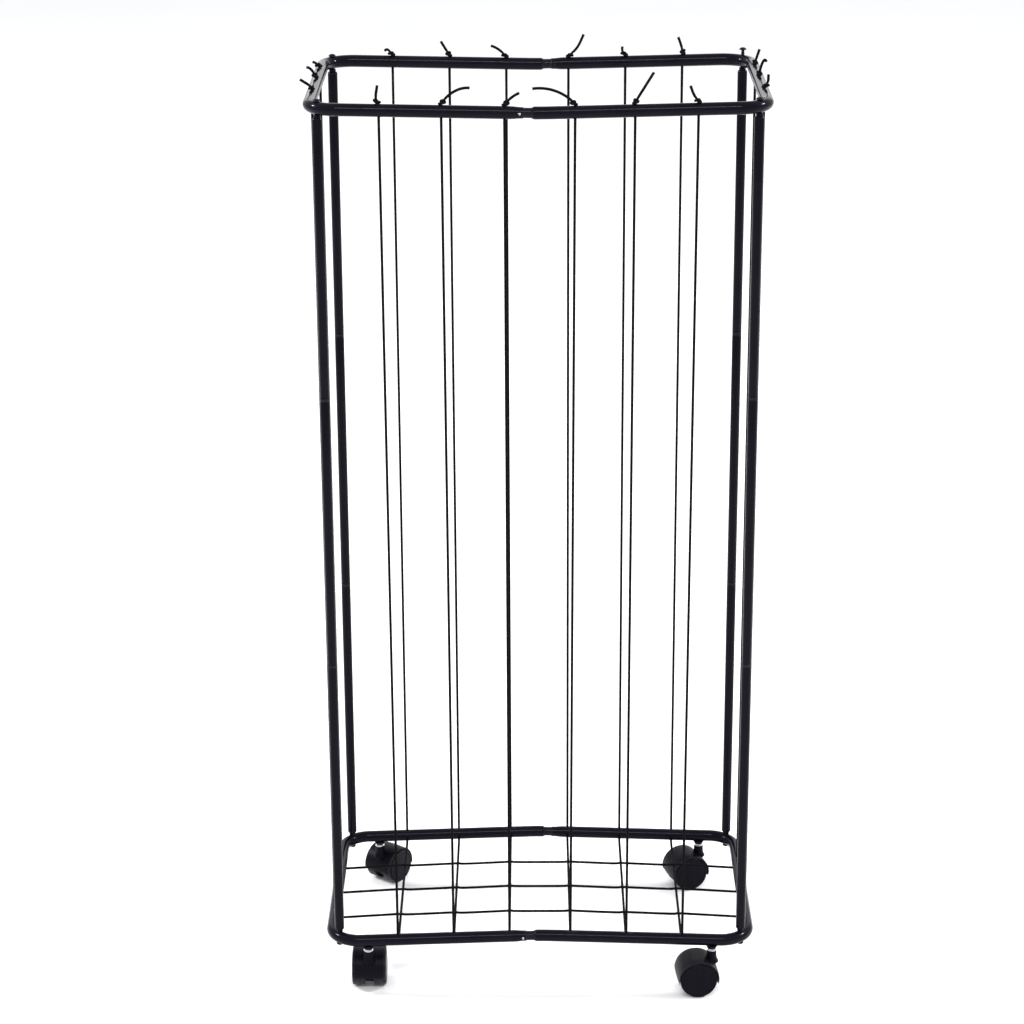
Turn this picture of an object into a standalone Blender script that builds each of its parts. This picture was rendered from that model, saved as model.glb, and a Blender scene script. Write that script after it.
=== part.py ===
"""Rolling elastic-cord cage: two tube rings, four three-piece posts, nine elastic
cords and four swivelling twin-wheel casters. Metres, +Z up, floor at z = 0."""

import math

import bmesh
import bpy
from mathutils import Matrix, Vector

MM = 0.001

# ---------------------------------------------------------------- driving dimensions (mm)
FRAME_X, FRAME_Y = 3.0, -12.5      # middle of the frame; the origin is the middle of the footprint
RING_A = 281.0                     # half length of a ring, to the side tube's centreline
RING_B = 160.0                     # half depth of a ring, to the front and back tubes' centreline
CORNER_R = 38.0                    # centreline radius of a ring's corner
RING_R, RING_BORE = 8.0, 6.8       # ring tube, outer and inner radius
Z_LOW, Z_TOP = 74.0, 1204.0        # ring centrelines above the floor
BOW_LOW, BOW_TOP = 7.5, -5.0       # how far the cords pull the joints towards the middle
KINK = 10.0                        # length over which the pulled tube bends at its joint
FEMALE_END, SHOULDER, INSERT_END = 18.0, 5.0, 34.0
CRIMP_R, CRIMP_BORE = 7.15, 6.65      # the open end is crimped on to the neck of the other half
NECK_R, NECK_BORE = 6.35, 5.3      # swaged end that slides into the other half
PIN_X = 22.5                       # joint pin, from the middle
RING_SIDES = 10

POST_R, POST_BORE = 6.35, 5.35
POST_SOCKET_R, POST_SOCKET_BORE = 4.95, 3.95
POST_SOCKET_LEN, POST_PLUG = 30.0, 16.0
POST_JOINTS = (469.0, 832.0)       # heights of the two joints in a post
POST_NECK_R, POST_NECK, POST_ROUND = 4.5, 3.2, 2.0   # a post's end narrows to a short neck against the ring
POST_SIDES = 10

SCREW_R, SCREW_HEAD_R, SCREW_HEAD_H = 2.5, 4.8, 3.0
LOOSE_SCREW = 6.5                  # the back right screw stands this far out

CORD_R = 1.5
CORD_HOLE_R = 2.15
DEPTH_CORD_X = (-191.0, -116.0, -41.0, 41.0, 116.0, 191.0)
FRONT_TOP_X = (-194.0, -118.0, -41.0, 45.0, 118.0, 195.0)  # the same cords at the top front tube, whose holes wander a little
WIDTH_CORD_Y = (-75.0, 0.0, 75.0)
CORD_DROP = 9.2                    # cords run this far under the ring centreline
CORD_SLANT = 5.8                   # a bottom ring's cord hole slants in by this much from the crown to the floor run
CORD_CROSS = 3.4                   # width cords cross this far over the depth cords
CORD_BEND = 2.6
KNOT_Z, KNOT_R = 11.6, 3.0         # knot above the top ring's centreline
CORD_SIDES = 6

CASTER_X, CASTER_Y = 231.0, 160.0
CASTER_TRAIL = 20.0
CASTERS = {                        # which way each caster trails
    "front_left": (-1, -1, 90.0),
    "front_right": (1, -1, 186.0),
    "back_left": (-1, 1, 54.0),
    "back_right": (1, 1, 200.0),
}
WHEEL_R = 25.0
WHEEL_IN, WHEEL_OUT = 6.3, 23.0    # one wheel's two faces, from the caster's middle
HOOD_R, HOOD_CAVITY_R = 27.6, 26.0
HOOD_DIP, HOOD_FRONT = 11.0, 1.2     # the arch ends this many degrees below the axle; it is this much thicker in front
HOOD_BOSS_R = 6.6
HOOD_HALF, HOOD_WEB = 22.3, 5.7
HOOD_DISC_R = 20.5                   # the plate between the two wheels
HOOD_TOP = 59.4
STEM_R, AXLE_R = 4.0, 3.0
BOSS_R, BOSS_DROP = 6.2, 2.4

# ---------------------------------------------------------------- scene
for old in list(bpy.data.objects):
    bpy.data.objects.remove(old, do_unlink=True)


def material(name, colour, metallic, roughness):
    mat = bpy.data.materials.new(name)
    mat.use_nodes = True
    shader = mat.node_tree.nodes["Principled BSDF"]
    shader.inputs["Base Color"].default_value = (*colour, 1.0)
    shader.inputs["Metallic"].default_value = metallic
    shader.inputs["Roughness"].default_value = roughness
    return mat


RING_PAINT = material("ring_paint", (0.012, 0.011, 0.016), 0.0, 0.16)
POST_PAINT = material("post_paint", (0.014, 0.013, 0.017), 0.0, 0.22)
CORD_BLACK = material("elastic_cord", (0.010, 0.010, 0.011), 0.0, 0.80)
SCREW_BLACK = material("screw_black", (0.015, 0.015, 0.018), 0.9, 0.35)
PIN_ZINC = material("pin_zinc", (0.72, 0.72, 0.74), 1.0, 0.25)
STEM_ZINC = material("stem_zinc", (0.80, 0.80, 0.82), 1.0, 0.18)
AXLE_STEEL = material("axle_steel", (0.55, 0.55, 0.57), 1.0, 0.30)
HOOD_PLASTIC = material("hood_plastic", (0.020, 0.020, 0.024), 0.0, 0.45)
WHEEL_PLASTIC = material("wheel_plastic", (0.017, 0.017, 0.020), 0.0, 0.38)


def finish(name, bm, mat, origin=(0, 0, 0), turn=0.0, helper=False):
    """Makes an object of a bmesh held in millimetres about its own origin."""
    bmesh.ops.recalc_face_normals(bm, faces=bm.faces)
    bmesh.ops.scale(bm, vec=(MM, MM, MM), verts=bm.verts)
    mesh = bpy.data.meshes.new(name)
    bm.to_mesh(mesh)
    bm.free()
    obj = bpy.data.objects.new(name, mesh)
    bpy.context.scene.collection.objects.link(obj)
    obj.location = Vector(origin) * MM
    obj.rotation_euler = (0, 0, math.radians(turn))
    if helper:
        obj.hide_render = True
        obj.display_type = "WIRE"
    else:
        mesh.materials.append(mat)
        mesh.shade_smooth()
        mesh.set_sharp_from_angle(angle=math.radians(40))
    return obj


def cut(obj, tool, operation="DIFFERENCE"):
    mod = obj.modifiers.new(operation.lower(), "BOOLEAN")
    mod.operation = operation
    mod.solver = "EXACT"
    mod.object = tool


# ---------------------------------------------------------------- mesh builders
def section(centre, side, up, radius, sides, phase=0.5):
    step = 2 * math.pi / sides
    return [
        centre + side * (radius * math.cos((k + phase) * step)) + up * (radius * math.sin((k + phase) * step))
        for k in range(sides)
    ]


def skin(bm, rings, closed):
    """Quads between rings of points that follow each other; the last joins the first when closed."""
    rows = [[bm.verts.new(p) for p in ring] for ring in rings]
    pairs = list(zip(rows, rows[1:])) + ([(rows[-1], rows[0])] if closed else [])
    count = len(rows[0])
    for a, b in pairs:
        for k in range(count):
            n = (k + 1) % count
            bm.faces.new((a[k], a[n], b[n], b[k]))
    if not closed:
        bm.faces.new(list(reversed(rows[0])))
        bm.faces.new(rows[-1])


def frames(points):
    """Tangent, side and up at each point of a path, with the side kept level where the path allows."""
    out = []
    last = None
    for i, p in enumerate(points):
        before = (p - points[i - 1]).normalized() if i else None
        after = (points[i + 1] - p).normalized() if i + 1 < len(points) else None
        tangent = ((before or after) + (after or before)).normalized()
        if last is None:
            side = tangent.cross(Vector((0, 0, 1)))
            if side.length < 0.2:
                side = Vector((1, 0, 0))
        else:
            side = last
        side = (side - tangent * side.dot(tangent)).normalized()
        last = side
        out.append((tangent, side, side.cross(tangent)))
    return out


def hollow_tube(points, outer, inner, sides):
    """A tube with a wall, open at both ends: its radii are given at every point of its path."""
    bm = bmesh.new()
    axes = frames(points)
    rings = [section(p, s, u, r, sides) for p, (_, s, u), r in zip(points, axes, outer)]
    rings += [section(p, s, u, r, sides) for p, (_, s, u), r in reversed(list(zip(points, axes, inner)))]
    skin(bm, rings, closed=True)
    return bm


def cord_tube(points, radii, sides):
    bm = bmesh.new()
    skin(bm, [section(p, s, u, r, sides, 0.0) for p, (_, s, u), r in zip(points, frames(points), radii)], closed=False)
    return bm


def turned(profile, sides, bm=None, phase=0.5):
    """A solid of revolution about Z. The profile is a closed loop of (radius, z); a radius of 0 is a point on the axis."""
    bm = bm or bmesh.new()
    step = 2 * math.pi / sides
    rows = []
    for r, z in profile:
        if r == 0:
            rows.append([bm.verts.new((0, 0, z))] * sides)
        else:
            rows.append([bm.verts.new((r * math.cos((k + phase) * step), r * math.sin((k + phase) * step), z)) for k in range(sides)])
    for a, b in zip(rows, rows[1:] + rows[:1]):
        for k in range(sides):
            n = (k + 1) % sides
            corners = []
            for v in (a[k], a[n], b[n], b[k]):
                if v not in corners:
                    corners.append(v)
            if len(corners) > 2:
                bm.faces.new(corners)
    return bm


def rod(bm, start, end, radius, sides):
    """Adds a closed prism between two points."""
    start, end = Vector(start), Vector(end)
    axis = (end - start).normalized()
    side = axis.orthogonal().normalized()
    up = axis.cross(side)
    skin(bm, [section(start, side, up, radius, sides), section(end, side, up, radius, sides)], closed=False)


def round_hole(radius, sides):
    """Corner radius of a hole whose flats clear the given radius."""
    return radius / math.cos(math.pi / sides)


# ---------------------------------------------------------------- frame geometry
def bow(x, height):
    """Height of a pulled front or back tube over its straight line, x from the middle."""
    reach = RING_A - CORNER_R
    if abs(x) >= reach:
        return 0.0
    soft = math.sqrt(x * x + KINK * KINK) - KINK
    full = math.sqrt(reach * reach + KINK * KINK) - KINK
    return height * (1.0 - soft / full)


def ring_path(height):
    """The left half of a ring, from its open end at the front to its swaged end at the back, with radii."""
    cx, cy = RING_A - CORNER_R, RING_B - CORNER_R
    path = []

    def straight(x, y, r, bore):
        path.append((Vector((x, y, bow(x, height))), r, bore))

    for x in (-FEMALE_END, -24.0):
        straight(x, -RING_B, CRIMP_R, CRIMP_BORE)
    for x in (-33.0, -cx):
        straight(x, -RING_B, RING_R, RING_BORE)
    for k in range(1, 5):
        a = math.radians(270 - 90 * k / 4)
        path.append((Vector((-cx + CORNER_R * math.cos(a), -cy + CORNER_R * math.sin(a), 0)), RING_R, RING_BORE))
    for k in range(0, 4):
        a = math.radians(180 - 90 * k / 4)
        path.append((Vector((-cx + CORNER_R * math.cos(a), cy + CORNER_R * math.sin(a), 0)), RING_R, RING_BORE))
    for x in (-cx, -28.0, -10.0, SHOULDER + 0.6):
        straight(x, RING_B, RING_R, RING_BORE)
    for x in (SHOULDER + 3.4, INSERT_END):
        straight(x, RING_B, NECK_R, NECK_BORE)
    points, outer, inner = zip(*path)
    return list(points), list(outer), list(inner)


def post_spot(sx, sy):
    reach = CORNER_R * math.sqrt(0.5)
    return sx * (RING_A - CORNER_R + reach), sy * (RING_B - CORNER_R + reach)


def ring_half(name, z, height, side, low):
    points, outer, inner = ring_path(height)
    half = finish(name, hollow_tube(points, outer, inner, RING_SIDES), RING_PAINT,
                  (FRAME_X, FRAME_Y, z), 0.0 if side < 0 else 180.0)
    if low:
        bosses = bmesh.new()
        for y in (-CASTER_Y, CASTER_Y):
            b = bow(CASTER_X, height)
            rod(bosses, (-CASTER_X, y, b - RING_R - BOSS_DROP), (-CASTER_X, y, b - RING_R + 2.6), BOSS_R, 12)
        cut(half, finish(name + "_bosses", bosses, None, half.location / MM, 0.0 if side < 0 else 180.0, True), "UNION")
    holes = bmesh.new()
    spots = [(-RING_A, y, 1, 0) for y in WIDTH_CORD_Y]
    for y in (-RING_B, RING_B):
        front = (y < 0) == (side < 0) and not low
        row = FRONT_TOP_X if front else DEPTH_CORD_X
        spots += [(-abs(x), y, 0, 1 if y < 0 else -1) for x in (row[:3] if side < 0 else row[3:])]
    for x, y, inx, iny in spots:
        if low:
            b = bow(x, height)
            step = CORD_SLANT / (RING_R + CORD_DROP)
            rod(holes, (x - inx * step * 8, y - iny * step * 8, b + RING_R + 8),
                (x + inx * step * 22, y + iny * step * 22, b + RING_R - 22), round_hole(CORD_HOLE_R, 6), 6)
        else:
            rod(holes, (x, y, -20), (x, y, 20), round_hole(CORD_HOLE_R, 6), 6)
    for sy in (-1, 1):
        x, y = post_spot(-1, sy)
        rod(holes, (x, y, -20), (x, y, 20), round_hole(SCREW_R + 0.3, 8), 8)
    rod(holes, (-PIN_X, -RING_B - 20, bow(PIN_X, height)), (-PIN_X, -RING_B + 20, bow(PIN_X, height)), 1.9, 8)
    rod(holes, (PIN_X, RING_B - 20, bow(PIN_X, height)), (PIN_X, RING_B + 20, bow(PIN_X, height)), 1.9, 8)
    if low:
        for y in (-CASTER_Y, CASTER_Y):
            rod(holes, (-CASTER_X, y, -20), (-CASTER_X, y, 0), round_hole(STEM_R + 0.3, 10), 10)
    cut(half, finish(name + "_holes", holes, None, half.location / MM, 0.0 if side < 0 else 180.0, True))


for level, z, height in (("top", Z_TOP, BOW_TOP), ("bottom", Z_LOW, BOW_LOW)):
    ring_half(f"{level}_ring_left_half", z, height, -1, level == "bottom")
    ring_half(f"{level}_ring_right_half", z, height, 1, level == "bottom")
    for place, x, y in (("front", -PIN_X, -RING_B), ("back", PIN_X, RING_B)):
        pin = turned([(0, -9.3), (1.1, -9.1), (1.9, -8.3), (1.9, -7.5), (1.45, -7.5),
                      (1.45, 7.5), (1.9, 7.5), (1.9, 8.3), (1.1, 9.1), (0, 9.3)], 8)
        bmesh.ops.rotate(pin, cent=(0, 0, 0), matrix=Matrix.Rotation(math.radians(90), 3, "X"), verts=pin.verts)
        finish(f"{level}_{place}_joint_pin", pin, PIN_ZINC, (FRAME_X + x, FRAME_Y + y, z + bow(x, height)))

# ---------------------------------------------------------------- posts and their screws
POST_LOW, POST_HIGH = Z_LOW + RING_R + 0.35, Z_TOP - RING_R - 0.35
SEAM = 0.5
CORNERS = {"front_left": (-1, -1), "front_right": (1, -1), "back_left": (-1, 1), "back_right": (1, 1)}
screw_bore = round_hole(SCREW_R + 0.3, POST_SIDES)


def post_piece(name, x, y, low, high, low_end, high_end):
    """One tube of a post. An end is a plug with a screw hole, an open socket, or a swaged spigot."""
    outside, inside = [], []
    if low_end == "plug":
        outside += [(screw_bore, low), (POST_NECK_R, low), (POST_NECK_R, low + POST_NECK), (POST_R, low + POST_NECK + POST_ROUND)]
        inside += [(POST_BORE, low + POST_PLUG), (screw_bore, low + POST_PLUG)]
    else:
        outside += [(POST_R, low)]
        inside += [(POST_BORE, low)]
    if high_end == "plug":
        outside += [(POST_R, high - POST_NECK - POST_ROUND), (POST_NECK_R, high - POST_NECK), (POST_NECK_R, high), (screw_bore, high)]
        inside = [(screw_bore, high - POST_PLUG), (POST_BORE, high - POST_PLUG)] + inside
    else:
        outside += [(POST_R, high), (POST_SOCKET_R, high), (POST_SOCKET_R, high + POST_SOCKET_LEN)]
        inside = [(POST_SOCKET_BORE, high + POST_SOCKET_LEN), (POST_SOCKET_BORE, high - 2.0), (POST_BORE, high - 6.0)] + inside
    finish(name, turned([(r, z - low) for r, z in outside + inside], POST_SIDES), POST_PAINT, (x, y, low))


for place, (sx, sy) in CORNERS.items():
    px, py = post_spot(sx, sy)
    x, y = FRAME_X + px, FRAME_Y + py
    a, b = POST_JOINTS
    post_piece(f"post_{place}_lower", x, y, POST_LOW, a, "plug", "spigot")
    post_piece(f"post_{place}_middle", x, y, a + SEAM, b, "socket", "spigot")
    post_piece(f"post_{place}_upper", x, y, b + SEAM, POST_HIGH, "socket", "plug")
    for level, z, way in (("top", Z_TOP, 1), ("bottom", Z_LOW, -1)):
        out = LOOSE_SCREW if (level, place) == ("top", "back_right") else 0.0
        seat = RING_R + 0.3 + out
        screw = turned([(0, seat + SCREW_HEAD_H), (2.8, seat + SCREW_HEAD_H - 0.3), (SCREW_HEAD_R, seat + 1.1),
                        (SCREW_HEAD_R, seat), (SCREW_R, seat), (SCREW_R, seat - 31.0), (SCREW_R - 0.8, seat - 32.0),
                        (0, seat - 32.0)], 8)
        if way < 0:
            bmesh.ops.rotate(screw, cent=(0, 0, 0), matrix=Matrix.Rotation(math.pi, 3, "X"), verts=screw.verts)
        finish(f"{level}_screw_{place}", screw, SCREW_BLACK, (x, y, z))


# ---------------------------------------------------------------- elastic cords
def bend(path, corner, before, after, radius):
    """Rounds a corner of a path in three points."""
    a, b = Vector(before).normalized(), Vector(after).normalized()
    corner = Vector(corner)
    turn = a.angle(b)
    reach = radius * math.tan(turn / 2)
    centre = corner + (b - a).normalized() * (radius / math.cos(turn / 2))
    for p in (corner - a * reach, None, corner + b * reach):
        path.append(p if p else centre - (b - a).normalized() * radius)


def knot_end(knot, tip, lean):
    """From a tail's tip to the cord just under its knot: points and radii."""
    knot, tip = Vector(knot), Vector(tip)
    mid = (knot + tip) / 2 + Vector(lean)
    points = [tip, mid, knot + (mid - knot).normalized() * 3.4, knot + Vector((0, 0, 1.2)), knot - Vector((0, 0, 1.2)),
              knot - Vector((0, 0, 3.0)), knot - Vector((0, 0, 4.4))]
    return points, [CORD_R * 0.95, CORD_R, CORD_R * 1.15, KNOT_R, KNOT_R, CORD_R * 1.1, CORD_R]


# tail tips, from the cord's own hole: along the rail, across it, and above the ring's centreline; then how far the tail bows
BACK_TAILS = ((-10, 3, 14, 2), (-11, 2, 27.5, 0), (-20, 2, 23, 1.5), (20, 3, 37.5, -3), (-4, 2, 19.5, 0), (-5.5, 3, 30, 1))
FRONT_TAILS = ((-1, 2, 31, 0), (35, 2, 29, 5), (18, 1, 24, 1), (-52, 3, 29.5, 6), (22, 2, 47, 0), (-10.5, 2, 29, -1))
LEFT_TAILS = ((-14, -3, 21.5, 0), (-11, -3, 22, 2.5), (-8.5, 2, 14, 0))
RIGHT_TAILS = ((5, 3, 24, 0), (8, 2, 26, 6), (5, 3, 28, 0))


def pulled_cord(name, first, last, over):
    """A cord knotted at both ends, down one side, under the floor and up the other side.
    first and last are (x, y, top bow, bottom bow, tip, lean, bottom x); over lifts the floor run where it crosses others."""
    start, radii = knot_end(Vector((first[0], first[1], Z_TOP + first[2] + KNOT_Z)), first[4], first[5])
    stop, end_radii = knot_end(Vector((last[0], last[1], Z_TOP + last[2] + KNOT_Z)), last[4], last[5])
    path = list(start)
    foot, far_foot = Vector((first[6], first[1], 0)), Vector((last[6], last[1], 0))
    run = (far_foot - foot).normalized()
    slant = run * CORD_SLANT + Vector((0, 0, -RING_R - CORD_DROP))
    crown = Vector((0, 0, Z_LOW + first[3] + RING_R))
    far_crown = Vector((0, 0, Z_LOW + last[3] + RING_R))
    path.append(foot + crown + Vector((0, 0, 0.3)))
    bend(path, foot + crown + slant, slant, run, CORD_BEND)
    path += over
    rise = run * CORD_SLANT + Vector((0, 0, RING_R + CORD_DROP))
    bend(path, far_foot + far_crown - rise, run, rise, CORD_BEND)
    path.append(far_foot + far_crown + Vector((0, 0, 0.3)))
    radii = radii + [CORD_R] * (len(path) - len(start)) + list(reversed(end_radii))
    path += list(reversed(stop))
    finish(name, cord_tube(path, radii, CORD_SIDES), CORD_BLACK, (FRAME_X, FRAME_Y, 0))


for i, x in enumerate(DEPTH_CORD_X):
    t, u, h, lean = BACK_TAILS[i]
    back = Vector((x + t, RING_B + u, Z_TOP + bow(x, BOW_TOP) + h))
    t2, u2, h2, lean2 = FRONT_TAILS[i]
    top = FRONT_TOP_X[i]
    front = Vector((top + t2, -RING_B - u2, Z_TOP + bow(top, BOW_TOP) + h2))
    pulled_cord(f"depth_cord_{i + 1}",
                (x, RING_B, bow(x, BOW_TOP), bow(x, BOW_LOW), back, (0, 0, lean), x),
                (top, -RING_B, bow(top, BOW_TOP), bow(x, BOW_LOW), front, (0, 0, lean2), x), [])

for i, (place, y) in enumerate(zip(("front", "middle", "back"), WIDTH_CORD_Y)):
    t, u, h, lean = LEFT_TAILS[i]
    left = Vector((-RING_A + t, y + u, Z_TOP + h))
    t2, u2, h2, lean2 = RIGHT_TAILS[i]
    right = Vector((RING_A + t2, y + u2, Z_TOP + h2))
    crossings = [Vector((x, y, Z_LOW + bow(x, BOW_LOW) - CORD_DROP + CORD_CROSS)) for x in DEPTH_CORD_X]
    pulled_cord(f"width_cord_{place}",
                (-RING_A, y, 0, 0, left, (0, 0, lean), -RING_A),
                (RING_A, y, 0, 0, right, (0, 0, lean2), RING_A), crossings)


# ---------------------------------------------------------------- casters
def hood_outline():
    """Side view of the hood about the stem's axis: a round arch over the wheels, which trail towards +X."""
    points = []
    for k in range(0, 13):
        a = math.radians(-HOOD_DIP + (180 + 2 * HOOD_DIP) * k / 12)
        r = HOOD_R + HOOD_FRONT * max(0.0, -math.cos(a))
        points.append((CASTER_TRAIL + r * math.cos(a), WHEEL_R + r * math.sin(a)))
    return points


def prism_y(bm, outline, half):
    front = [bm.verts.new((x, -half, z)) for x, z in outline]
    back = [bm.verts.new((x, half, z)) for x, z in outline]
    bm.faces.new(front)
    bm.faces.new(list(reversed(back)))
    for k in range(len(outline)):
        n = (k + 1) % len(outline)
        bm.faces.new((front[n], front[k], back[k], back[n]))


def rod_y(bm, x, z, low, high, radius, sides):
    step = 2 * math.pi / sides
    rings = [[Vector((x + radius * math.cos((k + 0.5) * step), y, z + radius * math.sin((k + 0.5) * step))) for k in range(sides)]
             for y in (low, high)]
    skin(bm, rings, closed=False)


for place, (sx, sy, trail) in CASTERS.items():
    x, y = FRAME_X + sx * CASTER_X, FRAME_Y + sy * CASTER_Y
    lift = bow(CASTER_X, BOW_LOW)
    under = Z_LOW + lift - RING_R - BOSS_DROP - 0.3
    stem = turned([(0, 42.3), (STEM_R, 42.3), (STEM_R, HOOD_TOP + 0.3), (6.5, HOOD_TOP + 0.3), (6.5, under), (STEM_R, under),
                   (STEM_R, Z_LOW + lift + 3.0), (0, Z_LOW + lift + 3.0)], 10)
    finish(f"caster_{place}_stem", stem, STEM_ZINC, (x, y, 0))

    swivel = bpy.data.objects.new(f"swivel_axis_{place}", None)
    bpy.context.scene.collection.objects.link(swivel)
    swivel.location = (x * MM, y * MM, 0)
    swivel.rotation_euler = (0, 0, math.radians(trail))

    shell = bmesh.new()
    prism_y(shell, hood_outline(), HOOD_HALF)
    hood = finish(f"caster_{place}_hood", shell, HOOD_PLASTIC)
    hood.parent = swivel
    hollow = bmesh.new()
    for low, high in ((HOOD_WEB, HOOD_HALF + 4), (-HOOD_HALF - 4, -HOOD_WEB)):
        rod_y(hollow, CASTER_TRAIL, WHEEL_R, low, high, round_hole(HOOD_CAVITY_R, 24), 24)
    disc = bmesh.new()
    rod_y(disc, CASTER_TRAIL, WHEEL_R, 0.3 - HOOD_WEB, HOOD_WEB - 0.3, HOOD_DISC_R, 24)
    boss = bmesh.new()
    rod(boss, (0, 0, 30.0), (0, 0, HOOD_TOP), HOOD_BOSS_R, 16)
    bores = bmesh.new()
    rod_y(bores, CASTER_TRAIL, WHEEL_R, -30.0, 30.0, round_hole(AXLE_R + 0.3, 10), 10)
    rod(bores, (0, 0, 41.8), (0, 0, 70), round_hole(STEM_R + 0.3, 12), 12)
    for label, tool, way in (("disc", disc, "UNION"), ("boss", boss, "UNION"), ("cavity", hollow, "DIFFERENCE"), ("bores", bores, "DIFFERENCE")):
        cutter = finish(f"caster_{place}_{label}", tool, None, helper=True)
        cutter.parent = swivel
        cut(hood, cutter, way)

    axle = bmesh.new()
    rod_y(axle, CASTER_TRAIL, WHEEL_R, -17.0, 17.0, AXLE_R, 10)
    axle = finish(f"caster_{place}_axle", axle, AXLE_STEEL)
    axle.parent = swivel

    for label, way in (("right", -1), ("left", 1)):
        wheel = turned([(round_hole(AXLE_R + 0.1, 12), WHEEL_IN), (WHEEL_R - 1.5, WHEEL_IN), (WHEEL_R, WHEEL_IN + 1.5),
                        (WHEEL_R, WHEEL_OUT - 1.6), (WHEEL_R - 1.6, WHEEL_OUT), (0, WHEEL_OUT),
                        (0, 17.6), (round_hole(AXLE_R + 0.1, 12), 17.6)], 20, phase=0.0)
        wheel = finish(f"caster_{place}_{label}_wheel", wheel, WHEEL_PLASTIC)
        wheel.parent = swivel
        wheel.location = (CASTER_TRAIL * MM, 0, WHEEL_R * MM)
        wheel.rotation_euler = (math.radians(-90 * way), 0, 0)
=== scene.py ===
import math

import bmesh
import bpy
import numpy as np
from mathutils import Matrix, Vector


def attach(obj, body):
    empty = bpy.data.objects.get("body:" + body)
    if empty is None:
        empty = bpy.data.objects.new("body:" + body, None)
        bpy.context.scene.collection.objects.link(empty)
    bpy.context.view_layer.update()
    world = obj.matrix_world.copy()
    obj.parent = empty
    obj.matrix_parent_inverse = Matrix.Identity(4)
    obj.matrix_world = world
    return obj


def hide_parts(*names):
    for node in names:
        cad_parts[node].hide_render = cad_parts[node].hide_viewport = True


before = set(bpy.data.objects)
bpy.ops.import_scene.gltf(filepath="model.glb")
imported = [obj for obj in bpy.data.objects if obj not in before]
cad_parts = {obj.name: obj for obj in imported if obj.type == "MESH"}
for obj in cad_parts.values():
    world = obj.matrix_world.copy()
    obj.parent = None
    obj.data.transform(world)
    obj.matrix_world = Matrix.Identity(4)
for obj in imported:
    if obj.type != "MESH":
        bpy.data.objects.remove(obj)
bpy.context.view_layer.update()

# ---------------------------------------------------------------- sizes, in millimetres, as the CAD has them
FX, FY = 3.0, -12.5
RING_A, RING_B, CORNER_R = 281.0, 160.0, 38.0
RING_R, RING_BORE = 8.0, 6.8
Z_LOW, Z_TOP = 74.0, 1204.0
BOW_LOW, BOW_TOP, KINK = 7.5, -5.0, 10.0
FEMALE_END, SHOULDER, INSERT_END = 18.0, 5.0, 34.0
NECK_R, NECK_BORE, PIN_X = 6.35, 5.3, 22.5
POST_R, POST_BORE, POST_NECK_R = 6.35, 5.35, 4.5
POST_JOINTS = (469.0, 832.0)
LOOSE_SCREW = 6.5
CORD_R, CORD_HOLE_R = 1.72, 2.15
DEPTH_CORD_X = (-191.0, -116.0, -41.0, 41.0, 116.0, 191.0)
FRONT_TOP_X = (-194.0, -118.0, -41.0, 45.0, 118.0, 195.0)
WIDTH_CORD_Y = (-75.0, 0.0, 75.0)
CORD_DROP, CORD_SLANT, CORD_CROSS, CORD_BEND = 9.2, 5.8, 3.4, 2.6
CASTER_X, CASTER_Y, TRAIL = 231.0, 160.0, 20.0
CASTERS = {"front_left": (-1, -1, 90.0), "front_right": (1, -1, 186.0), "back_left": (-1, 1, 54.0), "back_right": (1, 1, 200.0)}
WHEEL_R, WHEEL_IN, WHEEL_OUT = 25.0, 6.3, 23.0
HOOD_R, HOOD_FRONT, HOOD_CAVITY_R, HOOD_HALF, HOOD_WEB, HOOD_TOP, HOOD_DIP, HOOD_DISC_R = 27.6, 1.2, 26.0, 22.3, 5.7, 59.4, 11.0, 20.5
AXLE_R, BOSS_R, BOSS_DROP = 3.0, 6.2, 4.0
CORNERS = {"front_left": (-1, -1), "front_right": (1, -1), "back_left": (-1, 1), "back_right": (1, 1)}

scene = bpy.context.scene
collection = scene.collection


# ---------------------------------------------------------------- camera
def camera():
    pitch, yaw, roll = math.radians(19.46), math.radians(-0.404), math.radians(-0.315)
    fwd = Vector((math.sin(yaw) * math.cos(pitch), math.cos(yaw) * math.cos(pitch), -math.sin(pitch)))
    right = Vector((math.cos(yaw), -math.sin(yaw), 0))
    up = right.cross(fwd)
    x = right * math.cos(roll) + up * math.sin(roll)
    y = -right * math.sin(roll) + up * math.cos(roll)
    data = bpy.data.cameras.new("camera")
    data.sensor_width = 36.0
    data.lens = 101.377
    data.clip_start, data.clip_end = 0.05, 100.0
    cam = bpy.data.objects.new("camera", data)
    collection.objects.link(cam)
    turn = Matrix((x, y, -fwd)).transposed().to_4x4()
    cam.matrix_world = Matrix.Translation((-0.0070, -3.6372, 1.9092)) @ turn
    scene.camera = cam


camera()


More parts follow.
